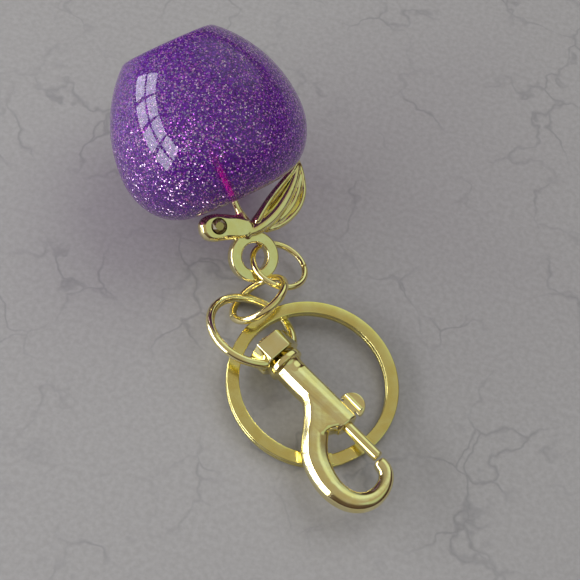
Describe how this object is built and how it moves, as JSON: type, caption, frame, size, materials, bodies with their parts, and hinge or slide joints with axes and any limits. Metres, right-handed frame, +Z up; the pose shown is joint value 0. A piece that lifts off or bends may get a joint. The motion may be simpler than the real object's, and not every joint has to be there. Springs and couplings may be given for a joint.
{
  "type": "keychain charm",
  "caption": "Glossy violet glitter-resin fruit with a gilt leaf stem, chained by jump rings to a swivel snap hook and a flat split key ring.",
  "frame": {"origin": "on the table, under the centre of the split key ring's hole", "axes": "+Z up from the table the chain lies on; +X to the right and +Y towards the fruit's side of the chain"},
  "size_m": [0.063, 0.0732, 0.0341],
  "materials": {
    "violet_glitter_resin": "clear glossy violet resin filled with fine silver and pink glitter",
    "clear_glue": "clear cured glue",
    "gold_plated_casting": "pale gold plating on a tumbled zinc casting, bright polish",
    "gold_plated_wire": "pale gold plating on drawn wire, bright polish",
    "gold_plated_spring_steel": "pale gold plating on flat spring steel, slightly satin faces and rounded edges",
    "foiled_stone": "faceted glass over foil",
    "bare_spring_steel": "bright drawn spring wire"
  },
  "bodies": {
    "swivel": {"swivel_eye": "gold_plated_casting"},
    "hook": {"hook_body": "gold_plated_casting", "swivel_rivet": "gold_plated_wire", "spring": "bare_spring_steel"},
    "pin": {"plunger": "gold_plated_wire", "thumb_tab": "gold_plated_casting"},
    "split_ring": {"key_ring": "gold_plated_spring_steel"},
    "large_ring": {"jump_ring_large": "gold_plated_wire"},
    "small_ring": {"jump_ring_small": "gold_plated_wire"},
    "charm": {"resin_body": "violet_glitter_resin", "peg_adhesive": "clear_glue", "stem_peg": "gold_plated_wire", "leaf_stem": "gold_plated_casting", "rhinestone": "foiled_stone"}
  },
  "joints": [
    {"name": "hook_swivel", "type": "hinge", "parent": "swivel", "child": "hook", "pos_m": [-0.00798, 0.00277, 0.00415], "axis": [0.8306, -0.5552, 0.0436], "range_deg": [-180, 0]},
    {"name": "pin_slide", "type": "slide", "parent": "hook", "child": "pin", "axis": [-0.8306, 0.5552, -0.0436], "range_m": [0, 0.0064], "stiffness_N_per_m": 150, "springref_m": -0.004, "deforming": ["spring"]},
    {"name": "split_ring_spin", "type": "hinge", "parent": "swivel", "child": "split_ring", "pos_m": [0.00009, -0.00007, 0.00203], "axis": [0.0598, -0.0467, 0.9971], "continuous": true},
    {"name": "large_ring_swing", "type": "hinge", "parent": "swivel", "child": "large_ring", "pos_m": [-0.01563, 0.01229, 0.00212], "axis": [-0.8849, -0.3541, 0.3024], "range_deg": [0, 75]},
    {"name": "small_ring_swing", "type": "hinge", "parent": "large_ring", "child": "small_ring", "pos_m": [-0.00976, 0.01576, 0.00609], "axis": [-0.4569, 0.5457, -0.7025], "range_deg": [0, 60]},
    {"name": "charm_swing", "type": "hinge", "parent": "small_ring", "child": "charm", "pos_m": [-0.01465, 0.01662, 0.00577], "axis": [0.6162, -0.782, 0.094], "range_deg": [0, 75]}
  ]
}
